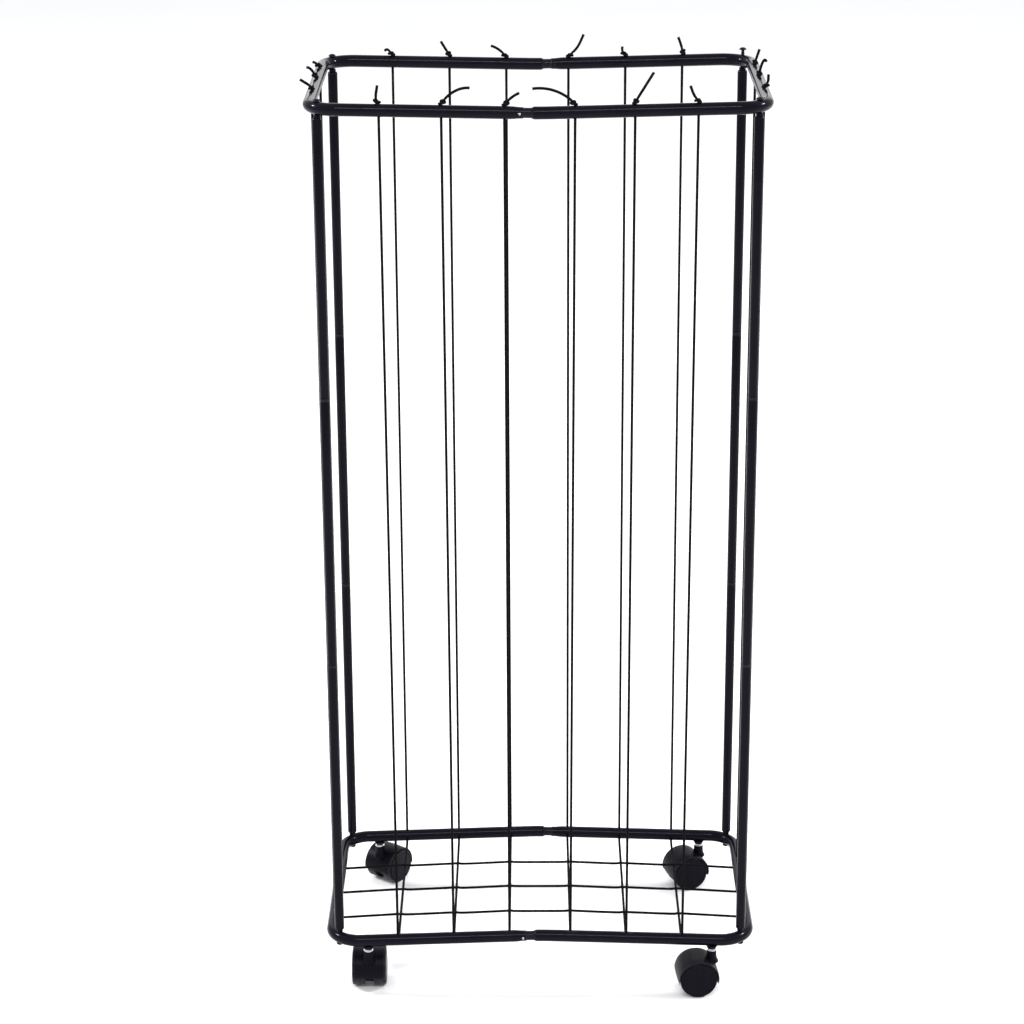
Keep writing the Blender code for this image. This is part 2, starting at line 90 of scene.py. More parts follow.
# ---------------------------------------------------------------- materials
class Nodes:
    """A small helper to wire a material's nodes."""

    def __init__(self, name):
        self.mat = bpy.data.materials.new(name)
        self.mat.use_nodes = True
        self.tree = self.mat.node_tree
        self.shader = self.tree.nodes["Principled BSDF"]
        self.column = -300

    def add(self, kind, **settings):
        node = self.tree.nodes.new(kind)
        node.location = (self.column, 0)
        self.column -= 180
        for key, value in settings.items():
            setattr(node, key, value)
        return node

    def link(self, a, b):
        self.tree.links.new(a, b)

    def coords(self, stretch=(1, 1, 1)):
        where = self.add("ShaderNodeTexCoord")
        scale = self.add("ShaderNodeMapping")
        scale.inputs["Scale"].default_value = stretch
        self.link(where.outputs["Object"], scale.inputs["Vector"])
        return scale.outputs["Vector"]

    def noise(self, vector, scale, detail=3.0, rough=0.5):
        node = self.add("ShaderNodeTexNoise")
        node.inputs["Scale"].default_value = scale
        node.inputs["Detail"].default_value = detail
        node.inputs["Roughness"].default_value = rough
        self.link(vector, node.inputs["Vector"])
        return node.outputs["Fac"]

    def ramp(self, value, stops):
        node = self.add("ShaderNodeValToRGB")
        ramp = node.color_ramp
        while len(ramp.elements) < len(stops):
            ramp.elements.new(0.5)
        for element, (at, colour) in zip(ramp.elements, stops):
            element.position = at
            element.color = (*colour, 1.0) if len(colour) == 3 else colour
        self.link(value, node.inputs["Fac"])
        return node.outputs["Color"]

    def mix(self, fac, a, b):
        node = self.add("ShaderNodeMix", data_type="RGBA")
        self.link(fac, node.inputs["Factor"])
        for value, socket in ((a, node.inputs["A"]), (b, node.inputs["B"])):
            if isinstance(value, tuple):
                socket.default_value = (*value, 1.0)
            else:
                self.link(value, socket)
        return node.outputs["Result"]

    def math(self, kind, a, b=None, clamp=False):
        node = self.add("ShaderNodeMath", operation=kind, use_clamp=clamp)
        for value, socket in ((a, node.inputs[0]), (b, node.inputs[1])):
            if value is None:
                continue
            if isinstance(value, (int, float)):
                socket.default_value = value
            else:
                self.link(value, socket)
        return node.outputs[0]

    def spread(self, value, low, high, start=0.3, stop=0.7):
        node = self.add("ShaderNodeMapRange")
        node.inputs["From Min"].default_value = start
        node.inputs["From Max"].default_value = stop
        node.inputs["To Min"].default_value = low
        node.inputs["To Max"].default_value = high
        self.link(value, node.inputs["Value"])
        return node.outputs["Result"]

    def attribute(self, name):
        node = self.add("ShaderNodeAttribute", attribute_name=name, attribute_type="GEOMETRY")
        return node.outputs["Fac"]

    def bump(self, height, distance, strength=1.0, before=None):
        node = self.add("ShaderNodeBump")
        node.inputs["Strength"].default_value = strength
        node.inputs["Distance"].default_value = distance
        self.link(height, node.inputs["Height"])
        if before is not None:
            self.link(before, node.inputs["Normal"])
        return node.outputs["Normal"]

    def set(self, **values):
        for key, value in values.items():
            socket = self.shader.inputs[key.replace("_", " ")]
            if isinstance(value, (int, float)):
                socket.default_value = value
            elif isinstance(value, tuple):
                socket.default_value = (*value, 1.0)
            else:
                self.link(value, socket)
        return self.mat


def powder_coat(name, dark, light, rough, level):
    """Gloss powder coat: a fine orange peel, soft patches of handling haze, and rubbed edges where wear is painted."""
    n = Nodes(name)
    at = n.coords()
    patches = n.noise(at, 22.0, 4.0, 0.55)
    peel = n.noise(at, 520.0, 2.0, 0.5)
    specks = n.noise(at, 2600.0, 1.0, 0.4)
    colour = n.ramp(patches, ((0.30, dark), (0.72, light)))
    worn = n.math("MULTIPLY", n.attribute("wear"), n.spread(n.noise(at, 900.0, 3.0, 0.6), 0.0, 1.0, 0.42, 0.62), clamp=True)
    colour = n.mix(worn, colour, (0.11, 0.105, 0.11))
    shine = n.math("ADD", n.spread(patches, rough - 0.035, rough + 0.05), n.math("MULTIPLY", worn, 0.30))
    height = n.math("ADD", peel, n.math("MULTIPLY", specks, 0.25))
    normal = n.bump(height, 0.000035, 0.55)
    return n.set(Base_Color=colour, Roughness=shine, Normal=normal, Metallic=0.0, Specular_IOR_Level=level, Specular_Tint=(0.90, 0.87, 1.0))


def moulded(name, dark, light, rough, grain, level=0.35):
    """Moulded nylon: a fine spark-eroded grain, faint flow marks and rubbed corners."""
    n = Nodes(name)
    at = n.coords()
    flow = n.noise(n.coords((1.0, 1.0, 0.35)), 60.0, 4.0, 0.6)
    fine = n.noise(at, grain, 2.0, 0.6)
    colour = n.ramp(flow, ((0.28, dark), (0.75, light)))
    worn = n.math("MULTIPLY", n.attribute("wear"), n.spread(n.noise(at, 700.0, 4.0, 0.65), 0.0, 1.0, 0.40, 0.66), clamp=True)
    colour = n.mix(worn, colour, (0.075, 0.072, 0.078))
    shine = n.math("ADD", n.spread(fine, rough - 0.06, rough + 0.08), n.math("MULTIPLY", worn, 0.15))
    normal = n.bump(fine, 0.00006, 0.5)
    return n.set(Base_Color=colour, Roughness=shine, Normal=normal, Metallic=0.0, Specular_IOR_Level=level, Specular_Tint=(0.86, 0.83, 1.0))


def metal(name, dark, light, rough, scratch=900.0, stretch=(1.0, 1.0, 0.08)):
    """Plated steel: fine drawn scratches and a slight cloudiness."""
    n = Nodes(name)
    lines = n.noise(n.coords(stretch), scratch, 3.0, 0.7)
    cloud = n.noise(n.coords(), 160.0, 3.0, 0.5)
    colour = n.ramp(cloud, ((0.3, dark), (0.7, light)))
    shine = n.math("ADD", n.spread(cloud, rough - 0.03, rough + 0.05), n.spread(lines, 0.0, 0.06))
    normal = n.bump(lines, 0.00002, 0.35)
    return n.set(Base_Color=colour, Roughness=shine, Normal=normal, Metallic=1.0)


def braid(name):
    """Woven sheath: crossing strands read from the sweep's own map, their ridges lighter as painted highlight and their
    grooves darker as painted shade, a little lint and a soft sheen.
    """
    n = Nodes(name)
    uv = n.add("ShaderNodeUVMap", uv_map="Braid")
    split = n.add("ShaderNodeSeparateXYZ")
    n.link(uv.outputs["UV"], split.inputs["Vector"])
    around = n.math("MULTIPLY", split.outputs["X"], 8.0)
    along = split.outputs["Y"]
    ridges = []
    for kind in ("ADD", "SUBTRACT"):
        wave = n.math("SINE", n.math("MULTIPLY", n.math(kind, around, along), math.pi))
        ridges.append(n.math("MULTIPLY", wave, wave))
    height = n.math("MAXIMUM", ridges[0], ridges[1])
    at = n.coords()
    lint = n.noise(at, 1400.0, 3.0, 0.7)
    wear = n.noise(at, 35.0, 2.0, 0.5)
    # painted highlight and shade: the colour follows the strand height, darker in the grooves between strands and
    # lighter on their ridges
    colour = n.ramp(n.math("MULTIPLY", height, n.spread(wear, 0.75, 1.0)), ((0.10, (0.0016, 0.0016, 0.0020)), (0.95, (0.0052, 0.0049, 0.0062))))
    colour = n.mix(n.spread(lint, 0.0, 0.30, 0.64, 0.82), colour, (0.020, 0.019, 0.023))
    normal = n.bump(n.math("ADD", height, n.math("MULTIPLY", lint, 0.35)), 0.00012, 0.7)
    n.set(Base_Color=colour, Roughness=n.spread(lint, 0.72, 0.90), Normal=normal, Specular_IOR_Level=0.05)
    return n.set(Sheen_Weight=0.008, Sheen_Roughness=0.4)


def rubber_core():
    """The cut end of the latex threads inside the cord: pale latex, with painted shade darkening into the gaps between
    the threads.
    """
    n = Nodes("latex_core")
    at = n.coords()
    threads = n.add("ShaderNodeTexVoronoi")
    threads.inputs["Scale"].default_value = 2300.0
    n.link(at, threads.inputs["Vector"])
    # pale latex thread ends, with painted shade: darker towards the edges of each cell, where the gaps between threads
    # are
    colour = n.ramp(threads.outputs["Distance"], ((0.15, (0.20, 0.19, 0.17)), (0.62, (0.035, 0.033, 0.030))))
    normal = n.bump(threads.outputs["Distance"], 0.0001, 0.5)
    return n.set(Base_Color=colour, Roughness=n.spread(n.noise(at, 900.0), 0.6, 0.8), Normal=normal, Specular_IOR_Level=0.3)


RING_PAINT = powder_coat("ring_paint", (0.0030, 0.0022, 0.0052), (0.0050, 0.0038, 0.0078), 0.13, 0.08)
POST_PAINT = powder_coat("post_paint", (0.0028, 0.0022, 0.0044), (0.0046, 0.0037, 0.0066), 0.16, 0.08)
CORD_CLOTH = braid("elastic_cord")
CORE = rubber_core()
HOOD_NYLON = moulded("caster_hood", (0.0022, 0.0018, 0.0038), (0.0040, 0.0034, 0.0062), 0.40, 1900.0, 0.07)
WHEEL_NYLON = moulded("caster_wheel", (0.0020, 0.0016, 0.0034), (0.0036, 0.0030, 0.0056), 0.29, 1500.0, 0.075)
CHROME = metal("caster_stem", (0.66, 0.66, 0.69), (0.82, 0.82, 0.85), 0.10)
ZINC = metal("joint_pin", (0.30, 0.30, 0.32), (0.46, 0.46, 0.48), 0.24, stretch=(1.0, 0.1, 1.0))
STEEL = metal("caster_axle", (0.36, 0.36, 0.38), (0.50, 0.50, 0.52), 0.28)
OXIDE = moulded("frame_screw", (0.0024, 0.0021, 0.0034), (0.0046, 0.0040, 0.0060), 0.34, 2400.0, 0.11)


# ---------------------------------------------------------------- mesh tools, in millimetres
def make(name, verts, faces, material, body, slot, nodes=(), smooth=35.0, uvs=None, extra=None, cap_material=None, cap_faces=()):
    mesh = bpy.data.meshes.new(name)
    mesh.from_pydata((np.asarray(verts, float) * 0.001).tolist(), [], faces)
    mesh.materials.append(material)
    if cap_material is not None:
        mesh.materials.append(cap_material)
        for k in cap_faces:
            mesh.polygons[k].material_index = 1
    if uvs is not None:
        layer = mesh.uv_layers.new(name="Braid")
        loops = np.zeros(len(mesh.loops), np.int32)
        mesh.loops.foreach_get("vertex_index", loops)
        values = np.asarray(uvs(mesh, loops), np.float32)
        layer.data.foreach_set("uv", values.ravel())
    mesh.validate(clean_customdata=False)
    return show(name, mesh, material, body, nodes, smooth, extra)


def show(name, mesh, material, body, nodes=(), smooth=35.0, wear=None):
    if not len(mesh.materials):
        mesh.materials.append(material)
    if wear is not None:
        co = np.zeros(len(mesh.vertices) * 3, np.float32)
        mesh.vertices.foreach_get("co", co)
        layer = mesh.attributes.get("wear") or mesh.attributes.new("wear", "FLOAT", "POINT")
        layer.data.foreach_set("value", np.asarray(wear(co.reshape(-1, 3).astype(float) * 1000.0), np.float32))
    mesh.shade_smooth()
    mesh.set_sharp_from_angle(angle=math.radians(smooth))
    obj = bpy.data.objects.new(name, mesh)
    collection.objects.link(obj)
    if body is not None:
        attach(obj, body)
        if nodes:
            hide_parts(*nodes)
    return obj


def helper(name, verts, faces):
    mesh = bpy.data.meshes.new(name)
    mesh.from_pydata((np.asarray(verts, float) * 0.001).tolist(), [], faces)
    obj = bpy.data.objects.new(name, mesh)
    collection.objects.link(obj)
    return obj


def carve(name, base, steps):
    """Applies booleans to a base of (verts, faces) and returns the finished mesh."""
    target = helper(name + "_base", *base)
    others = []
    for operation, (verts, faces) in steps:
        tool = helper(name + "_tool", verts, faces)
        others.append(tool)
        mod = target.modifiers.new("b", "BOOLEAN")
        mod.operation = operation
        mod.solver = "EXACT"
        mod.object = tool
    bpy.context.view_layer.update()
    mesh = bpy.data.meshes.new_from_object(target.evaluated_get(bpy.context.evaluated_depsgraph_get()))
    for o in (target, *others):
        data = o.data
        bpy.data.objects.remove(o, do_unlink=True)
        bpy.data.meshes.remove(data)
    bm = bmesh.new()
    bm.from_mesh(mesh)
    bmesh.ops.remove_doubles(bm, verts=bm.verts, dist=3e-6)
    bmesh.ops.triangulate(bm, faces=[f for f in bm.faces if len(f.verts) > 4])
    same = {}
    for f in bm.faces:
        same.setdefault(frozenset(v.index for v in f.verts), []).append(f)
    twins = [f for group in same.values() if len(group) > 1 for f in group]
    if twins:
        bmesh.ops.delete(bm, geom=twins, context="FACES_ONLY")
    bm.to_mesh(mesh)
    bm.free()
    mesh.name = name
    return mesh


def path_frames(points):
    """Side and up vectors carried along a path without twist."""
    points = np.asarray(points, float)
    step = np.diff(points, axis=0)
    step /= np.linalg.norm(step, axis=1)[:, None]
    tangent = np.vstack([step[:1], step[:-1] + step[1:], step[-1:]])
    tangent /= np.linalg.norm(tangent, axis=1)[:, None]
    side = np.cross(tangent[0], (0, 0, 1.0))
    if np.linalg.norm(side) < 0.2:
        side = np.array((1.0, 0, 0))
    sides, ups = [], []
    for t in tangent:
        side = side - t * side.dot(t)
        side /= np.linalg.norm(side)
        sides.append(side)
        ups.append(np.cross(side, t))
    return tangent, np.array(sides), np.array(ups)


def grid_faces(rows, count, closed):
    faces = []
    last = rows if closed else rows - 1
    for i in range(last):
        a, b = i * count, ((i + 1) % rows) * count
        for k in range(count):
            n = (k + 1) % count
            faces.append((a + k, a + n, b + n, b + k))
    return faces


def tube(points, outer, inner, count):
    """A walled tube, open at both ends; outer and inner are its radii at every point."""
    points = np.asarray(points, float)
    _, side, up = path_frames(points)
    angle = 2 * math.pi * (np.arange(count) + 0.5) / count
    ring = lambda i, r: points[i] + r * (np.cos(angle)[:, None] * side[i] + np.sin(angle)[:, None] * up[i])
    n = len(points)
    verts = [ring(i, outer[i]) for i in range(n)] + [ring(i, inner[i]) for i in reversed(range(n))]
    faces = [tuple(reversed(f)) for f in grid_faces(2 * n, count, True)]
    return np.vstack(verts), faces


def turn_profile(profile, count, centre=(0, 0, 0), axis="Z", phase=0.5):
    """A solid of revolution; the profile is a closed loop of (radius, height) and radius 0 is a point on the axis."""
    verts, rows = [], []
    for r, z in profile:
        if r == 0:
            rows.append([len(verts)] * count)
            verts.append((0, 0, z))
        else:
            rows.append(list(range(len(verts), len(verts) + count)))
            for k in range(count):
                a = 2 * math.pi * (k + phase) / count
                verts.append((r * math.cos(a), r * math.sin(a), z))
    faces = []
    for a, b in zip(rows, rows[1:] + rows[:1]):
        for k in range(count):
            n = (k + 1) % count
            corner = []
            for v in (a[k], a[n], b[n], b[k]):
                if v not in corner:
                    corner.append(v)
            if len(corner) > 2:
                faces.append(tuple(corner))
    verts = np.array(verts, float)
    if axis == "Y":
        verts = np.stack([verts[:, 0], verts[:, 2], -verts[:, 1]], 1)
    return outward(verts + np.array(centre, float), faces)


def outward(verts, faces):
    """Turns every face outwards."""
    verts = np.asarray(verts, float)
    volume = 0.0
    for f in faces:
        for k in range(1, len(f) - 1):
            volume += np.dot(verts[f[0]], np.cross(verts[f[k]], verts[f[k + 1]]))
    if volume < 0:
        faces = [tuple(reversed(f)) for f in faces]
    return verts, faces


def fillet(r, z, radius, start, stop, steps=5):
    """Points of a profile's rounded corner about (r, z)."""
    return [(r + radius * math.cos(math.radians(start + (stop - start) * k / steps)),
             z + radius * math.sin(math.radians(start + (stop - start) * k / steps))) for k in range(steps + 1)]


def join(*parts):
    verts, faces, base = [], [], 0
    for v, f in parts:
        verts.append(np.asarray(v, float))
        faces += [tuple(i + base for i in face) for face in f]
        base += len(v)
    return np.vstack(verts), faces


def rod(start, end, radius, count):
    start, end = np.array(start, float), np.array(end, float)
    axis = (end - start) / np.linalg.norm(end - start)
    side = np.cross(axis, (0.0, 0.0, 1.0))
    if np.linalg.norm(side) < 0.2:
        side = np.array((1.0, 0, 0))
    side /= np.linalg.norm(side)
    up = np.cross(axis, side)
    a = 2 * math.pi * np.arange(count) / count
    circle = radius * (np.cos(a)[:, None] * side + np.sin(a)[:, None] * up)
    verts = np.vstack([start + circle, end + circle])
    faces = grid_faces(2, count, False) + [tuple(reversed(range(count))), tuple(range(count, 2 * count))]
    return outward(verts, faces)


def turned_about(verts, degrees, centre=(0.0, 0.0)):
    a = math.radians(degrees)
    c, s = math.cos(a), math.sin(a)
    v = np.asarray(verts, float).copy()
    x, y = v[:, 0] - centre[0], v[:, 1] - centre[1]
    v[:, 0], v[:, 1] = centre[0] + c * x - s * y, centre[1] + s * x + c * y
    return v


# ---------------------------------------------------------------- rings
def bow(x, height):
    reach = RING_A - CORNER_R
    if abs(x) >= reach:
        return 0.0
    soft = math.sqrt(x * x + KINK * KINK) - KINK
    full = math.sqrt(reach * reach + KINK * KINK) - KINK
    return height * (1.0 - soft / full)


def ring_stations(height):
    """Path and radii of the left half: a crimped open end in front, a swaged end at the back."""
    cx, cy = RING_A - CORNER_R, RING_B - CORNER_R
    path = []
    lip = [(-18.0, 6.80, 6.55), (-18.12, 6.95, 6.57), (-18.5, 7.03, 6.58), (-20.0, 7.08, 6.6), (-22.5, 7.15, 6.6), (-24.5, 7.26, 6.62),
           (-26.5, 7.44, 6.66), (-28.5, 7.66, 6.70), (-30.5, 7.84, 6.75), (-32.5, 7.95, 6.80), (-35.0, 8.0, 6.8)]
    for x, r, bore in lip:
        path.append((x, -RING_B, bow(x, height), r, bore))
    for x in np.linspace(-42.0, -cx + 1.0, 26):
        path.append((x, -RING_B, bow(x, height), RING_R, RING_BORE))
    for k in range(0, 19):
        a = math.radians(270 - 90 * k / 18)
        path.append((-cx + CORNER_R * math.cos(a), -cy + CORNER_R * math.sin(a), 0.0, RING_R, RING_BORE))
    for y in np.linspace(-cy, cy, 12)[1:-1]:
        path.append((-RING_A, y, 0.0, RING_R, RING_BORE))
    for k in range(0, 19):
        a = math.radians(180 - 90 * k / 18)
        path.append((-cx + CORNER_R * math.cos(a), cy + CORNER_R * math.sin(a), 0.0, RING_R, RING_BORE))
    for x in np.linspace(-cx + 1.0, -22.0, 24):
        path.append((x, RING_B, bow(x, height), RING_R, RING_BORE))
    for x in (-14.0, -8.0, -3.0, 1.0):
        path.append((x, RING_B, bow(x, height), RING_R, RING_BORE))
    swage = [(3.4, 8.0, 6.8), (4.8, 7.97, 6.76), (5.6, 7.84, 6.66), (6.2, 7.60, 6.45), (6.8, 7.20, 6.10), (7.4, 6.84, 5.75), (8.1, 6.56, 5.50),
             (9.0, 6.41, 5.36), (10.5, 6.35, 5.3), (13.0, 6.35, 5.3), (20.0, 6.35, 5.3), (28.0, 6.35, 5.3), (32.5, 6.3, 5.3), (33.6, 6.1, 5.35), (INSERT_END, 5.8, 5.45)]
    for x, r, bore in swage:
        path.append((x, RING_B, bow(x, height), r, bore))
    path = np.array(path)
    return path[:, :3], path[:, 3], path[:, 4]


def post_spot(sx, sy):
    reach = CORNER_R * math.sqrt(0.5)
    return sx * (RING_A - CORNER_R + reach), sy * (RING_B - CORNER_R + reach)


def ring_half(level, word, z, height, side):
    low = level == "bottom"
    name = f"{level}_ring_{word}_half"
    points, outer, inner = ring_stations(height)
    base = tube(points, outer, inner, 32)
    steps = []
    if low:
        bosses = []
        for y in (-CASTER_Y, CASTER_Y):
            b = bow(CASTER_X, height)
            profile = [(0, b - RING_R - BOSS_DROP)] + [(r, b - RING_R - BOSS_DROP + h) for r, h in
                       ((BOSS_R - 0.7, 0.0), (BOSS_R - 0.2, 0.2), (BOSS_R, 0.7), (BOSS_R, 1.6), (BOSS_R + 0.5, 2.4), (BOSS_R + 1.4, 3.4), (BOSS_R + 1.0, 4.6))]
            profile += [(0, b - RING_R + 2.6)]
            bosses.append(turn_profile(profile, 24, (-CASTER_X, y, 0)))
        steps.append(("UNION", join(*bosses)))
    cuts = []
    holes = [(-RING_A, y, 1, 0) for y in WIDTH_CORD_Y]
    for y in (-RING_B, RING_B):
        row = FRONT_TOP_X if (y < 0) == (side < 0) and not low else DEPTH_CORD_X
        holes += [(-abs(x), y, 0, 1 if y < 0 else -1) for x in (row[:3] if side < 0 else row[3:])]
    step = CORD_SLANT / (RING_R + CORD_DROP) if low else 0.0
    for x, y, inx, iny in holes:
        top = bow(x, height) + RING_R
        cuts.append(rod((x - inx * step * 8, y - iny * step * 8, top + 8), (x + inx * step * 22, y + iny * step * 22, top - 22), CORD_HOLE_R, 16))
    for sy in (-1, 1):
        x, y = post_spot(-1, sy)
        cuts.append(rod((x, y, -20), (x, y, 20), 2.8, 16))
    cuts.append(rod((-PIN_X, -RING_B - 20, bow(PIN_X, height)), (-PIN_X, -RING_B + 20, bow(PIN_X, height)), 1.9, 16))
    cuts.append(rod((PIN_X, RING_B - 20, bow(PIN_X, height)), (PIN_X, RING_B + 20, bow(PIN_X, height)), 1.9, 16))
    if low:
        for y in (-CASTER_Y, CASTER_Y):
            cuts.append(rod((-CASTER_X, y, -20), (-CASTER_X, y, 0), 4.3, 20))
    steps.append(("DIFFERENCE", join(*cuts)))
    turn = 0.0 if side < 0 else 180.0
    place = lambda part: (turned_about(part[0], turn) + np.array((FX, FY, z)), part[1])
    mesh = carve(name, place(base), [(op, place(tool)) for op, tool in steps])
    spots = [(x, y) for x, y, _, _ in holes] + [post_spot(-1, -1), post_spot(-1, 1)]
    sign = -side

    def wear(co):
        x, y = sign * (co[:, 0] - FX), sign * (co[:, 1] - FY)
        h = np.abs(co[:, 2] - z)
        out = np.zeros(len(co))
        for sx, sy in spots:
            d = np.hypot(x - sx, y - sy)
            out = np.maximum(out, np.exp(-np.maximum(d - 2.3, 0) / 0.9) * (h > 5.5))
        end = np.where(y < 0, np.exp(-np.abs(x + FEMALE_END) / 0.7), 0.0)
        neck = np.where((y > 0) & (x > 6.0), 0.12, 0.0)
        return np.maximum.reduce([0.35 * out, 0.45 * end, neck])

    return show(name + "_skin", mesh, RING_PAINT, "root", (name,), 38.0, wear)


for level, z, height in (("top", Z_TOP, BOW_TOP), ("bottom", Z_LOW, BOW_LOW)):
    for word, side in (("left", -1), ("right", 1)):
        ring_half(level, word, z, height, side)
    for place, x, y in (("front", -PIN_X, -RING_B), ("back", PIN_X, RING_B)):
        dome = [(0, 9.15), (0.55, 9.08), (1.0, 8.9), (1.4, 8.6), (1.65, 8.2), (1.75, 7.8), (1.65, 7.55), (1.4, 7.45)]
        profile = dome + [(r, -h) for r, h in reversed(dome)]
        node = f"{level}_{place}_joint_pin"
        make(node + "_rivet", *turn_profile(profile, 24, (FX + x, FY + y, z + bow(x, height)), "Y"), ZINC if place == "front" else OXIDE, "root", "joint_pin", (node,), 60.0)


# ---------------------------------------------------------------- posts
POST_LOW, POST_HIGH = Z_LOW + RING_R + 0.35, Z_TOP - RING_R - 0.35


def post_end(z, way):
    """Outside of a post's end against a ring: the tube rounds in to a short collar. way is the direction out of the post."""
    return [(POST_R, z - way * 6.2), (POST_R - 0.10, z - way * 5.5), (POST_R - 0.42, z - way * 4.75), (POST_R - 1.0, z - way * 4.1),
            (POST_NECK_R + 0.25, z - way * 3.7), (POST_NECK_R - 0.1, z - way * 3.4), (POST_NECK_R - 0.1, z - way * 0.5), (POST_NECK_R - 0.35, z - way * 0.1), (2.8, z)]


def post_piece(name, x, y, low, high, low_end, high_end):
    outside = []
    if low_end == "plug":
        outside += list(reversed(post_end(low, -1)))
        inner_low = [(2.8, low + 0.1)]
    else:
        outside += [(POST_R - 0.55, low + 0.02), (POST_R - 0.18, low + 0.16), (POST_R, low + 0.55), (POST_R + 0.02, low + 2.6), (POST_R - 0.14, low + 3.2), (POST_R - 0.16, low + 3.6),
                    (POST_R + 0.0, low + 4.2)]
        inner_low = [(POST_BORE, low + 0.05)]
    if high_end == "plug":
        outside += post_end(high, 1)
        profile = outside + [(2.8, high - 14.0), (POST_BORE, high - 14.5)]
    else:
        outside += [(POST_R, high - 3.4), (POST_R - 0.15, high - 2.8), (POST_R - 0.15, high - 2.4), (POST_R, high - 1.8), (POST_R, high - 0.6), (POST_R - 0.2, high - 0.15), (POST_R - 0.6, high),
                    (4.95, high), (4.95, high + 28.5), (4.6, high + 29.8), (3.95, high + 30.0)]
        profile = outside + [(3.95, high - 2.0), (POST_BORE, high - 6.0)]
    if low_end == "plug":
        profile += [(POST_BORE, low + 16.0), (2.8, low + 15.5)]
    else:
        profile += inner_low
    part = turn_profile(profile, 28, (x, y, 0))

    def wear(co):
        out = np.zeros(len(co))
        for end, kind in ((low, low_end), (high, high_end)):
            if kind != "plug":
                out = np.maximum(out, 0.75 * np.exp(-np.abs(co[:, 2] - end) / 0.45))
        return out

    make(name + "_tube", *part, POST_PAINT, "root", "post_paint", (name,), 38.0, extra=wear)


def phillips_screw():
    """A truss-head screw, its seat at z = 0 and its shank along -Z, with a cross recess; its thread is made apart by
    thread() and joined on afterwards.
    """
    head = [(0, 3.0), (1.2, 2.95), (2.4, 2.72), (3.4, 2.25), (4.2, 1.55), (4.62, 0.85), (4.8, 0.35), (4.72, 0.08), (4.5, 0.0), (2.45, 0.0), (2.1, -0.6)]
    shank = head + [(2.05, -1.6), (2.05, -30.6), (1.2, -31.8), (0, -32.0)]
    blades = []
    for a in (0, 90):
        c, s = math.cos(math.radians(a)), math.sin(math.radians(a))
        verts = []
        for z, reach, half in ((3.6, 2.35, 0.52), (0.9, 0.95, 0.36)):
            for u, w in ((-reach, -half), (reach, -half), (reach, half), (-reach, half)):
                verts.append((u * c - w * s, u * s + w * c, z))
        blades.append(outward(verts, [(0, 3, 2, 1), (4, 5, 6, 7), (0, 1, 5, 4), (1, 2, 6, 5), (2, 3, 7, 6), (3, 0, 4, 7)]))
    body = turn_profile(shank, 32)
    mesh = carve("frame_screw", body, [("DIFFERENCE", blades[0]), ("DIFFERENCE", blades[1])])
    verts = [tuple(v.co * 1000.0) for v in mesh.vertices]
    faces = [tuple(p.vertices) for p in mesh.polygons]
    bpy.data.meshes.remove(mesh)
    return np.array(verts), faces


def thread(top, bottom, pitch=1.0, root=2.05, crest=2.45, count=20):
    """A helical ridge round a shank, tapered away at both ends."""
    turns = (top - bottom) / pitch
    n = int(turns * count)
    verts, faces = [], []
    for i in range(n + 1):
        a = 2 * math.pi * i / count
        z = top - (top - bottom) * i / n
        fade = min(1.0, 4.0 * i / n * 2, (n - i) / n * 8)
        tip = root - 0.15 + (crest - root + 0.15) * max(fade, 0.02)
        for r, h in ((root - 0.15, 0.42), (tip, 0.08), (tip, -0.08), (root - 0.15, -0.42)):
            verts.append((r * math.cos(a), r * math.sin(a), z + h * pitch))
    faces = grid_faces(n + 1, 4, False) + [(3, 2, 1, 0), (4 * n, 4 * n + 1, 4 * n + 2, 4 * n + 3)]
    return outward(verts, faces)


SCREW = join(phillips_screw(), thread(-1.8, -30.2))

for number, (place, (sx, sy)) in enumerate(CORNERS.items()):
    px, py = post_spot(sx, sy)
    x, y = FX + px, FY + py
    a, b = POST_JOINTS
    post_piece(f"post_{place}_lower", x, y, POST_LOW, a, "plug", "spigot")
    post_piece(f"post_{place}_middle", x, y, a + 0.5, b, "socket", "spigot")
    post_piece(f"post_{place}_upper", x, y, b + 0.5, POST_HIGH, "socket", "plug")
    for level, z, way in (("top", Z_TOP, 1), ("bottom", Z_LOW, -1)):
        out = LOOSE_SCREW if (level, place) == ("top", "back_right") else 0.0
        verts = turned_about(SCREW[0], 17.0 + 53.0 * number + (20.0 if way < 0 else 0.0))
        if way < 0:
            verts = verts * np.array((1.0, -1.0, -1.0))
        verts = verts + np.array((x, y, z + way * (RING_R + 0.3 + out)))
        node = f"{level}_screw_{place}"
        make(node + "_bolt", verts, SCREW[1], OXIDE, "root", "frame_screw", (node,), 32.0)


# ---------------------------------------------------------------- elastic cords
def resample(points, step):
    points = np.asarray(points, float)
    along = np.concatenate([[0], np.cumsum(np.linalg.norm(np.diff(points, axis=0), axis=1))])
    count = max(2, int(round(along[-1] / step)) + 1)
    at = np.linspace(0, along[-1], count)
    return np.stack([np.interp(at, along, points[:, k]) for k in range(3)], 1)


def smooth_line(points, per=8):
    """Catmull-Rom curve through the points."""
    p = np.asarray(points, float)
    p = np.vstack([2 * p[0] - p[1], p, 2 * p[-1] - p[-2]])
    out = []
    for i in range(1, len(p) - 2):
        for t in np.arange(per) / per:
            out.append(0.5 * (2 * p[i] + (p[i + 1] - p[i - 1]) * t + (2 * p[i - 1] - 5 * p[i] + 4 * p[i + 1] - p[i + 2]) * t * t
                              + (3 * p[i] - p[i - 1] - 3 * p[i + 1] + p[i + 2]) * t ** 3))
    out.append(p[-2])
    return np.array(out)


